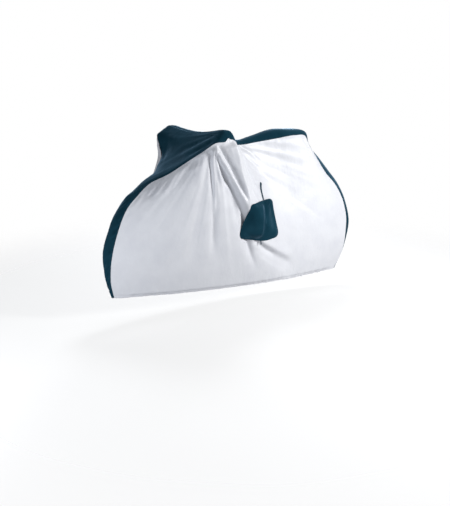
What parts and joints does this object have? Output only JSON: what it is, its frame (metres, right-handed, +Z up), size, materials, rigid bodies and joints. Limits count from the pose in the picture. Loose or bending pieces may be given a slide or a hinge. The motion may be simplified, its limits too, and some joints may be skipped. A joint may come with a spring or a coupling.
{
  "type": "bicycle cover",
  "caption": "Fitted cloth bicycle cover with two silver side panels, a dark centre gusset widened over the handlebar, and a dark pouch hung by a strap on one side.",
  "frame": {"origin": "the point under the gusset's cloth over the middle of the saddle, where the covered bicycle carries it", "axes": "+X along the bicycle towards its rear wheel, +Y across it towards the side with no pouch, +Z up; the ground is 1.066 m below the origin"},
  "size_m": [1.7338, 0.612, 0.9813],
  "materials": {
    "silver_fabric": "silver-grey coated polyester taffeta, soft satin sheen",
    "navy_fabric": "dark navy coated polyester taffeta, dull satin",
    "navy_webbing": "dark navy woven tape, matte"
  },
  "bodies": {
    "root": {"side_panel_near": "silver_fabric", "side_panel_far": "silver_fabric", "centre_gusset": "navy_fabric", "pouch": "navy_fabric", "pouch_strap": "navy_webbing", "pouch_tail": "navy_webbing"}
  },
  "joints": []
}
